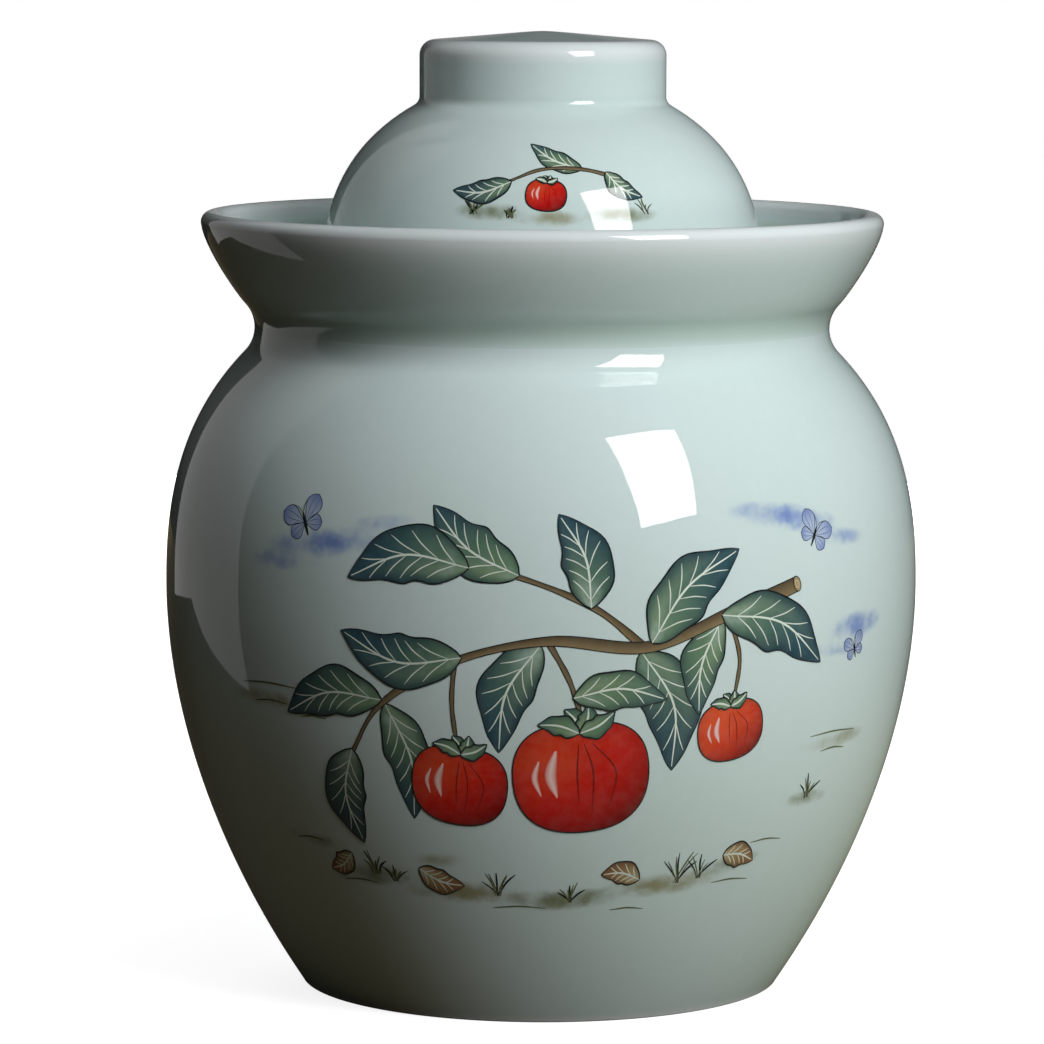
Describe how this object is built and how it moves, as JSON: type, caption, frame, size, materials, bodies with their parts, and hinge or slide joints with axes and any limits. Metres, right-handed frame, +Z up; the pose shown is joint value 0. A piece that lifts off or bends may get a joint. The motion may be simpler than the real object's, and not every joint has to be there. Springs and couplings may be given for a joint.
{
  "type": "water seal pickle jar",
  "caption": "Glazed porcelain fermenting jar with a flared water trough round its neck, an inner lid and a bell-shaped outer lid that stands in the trough.",
  "frame": {"origin": "centre of the foot, on the surface that the jar stands on", "axes": "+Z up along the axis that every piece is turned about; -Y is the decorated front"},
  "size_m": [0.221, 0.221, 0.28],
  "materials": {
    "celadon_glaze": "polished"
  },
  "bodies": {
    "jar": {"jar_body": "celadon_glaze", "water_trough": "celadon_glaze"},
    "inner_lid": {"inner_lid": "celadon_glaze"},
    "outer_lid": {"outer_lid": "celadon_glaze"}
  },
  "joints": [
    {"name": "inner_lid_lift", "type": "slide", "parent": "jar", "child": "inner_lid", "axis": [0, 0, 1], "range_m": [0, 0.05]},
    {"name": "outer_lid_lift", "type": "slide", "parent": "inner_lid", "child": "outer_lid", "axis": [0, 0, 1], "range_m": [0, 0.08]}
  ]
}
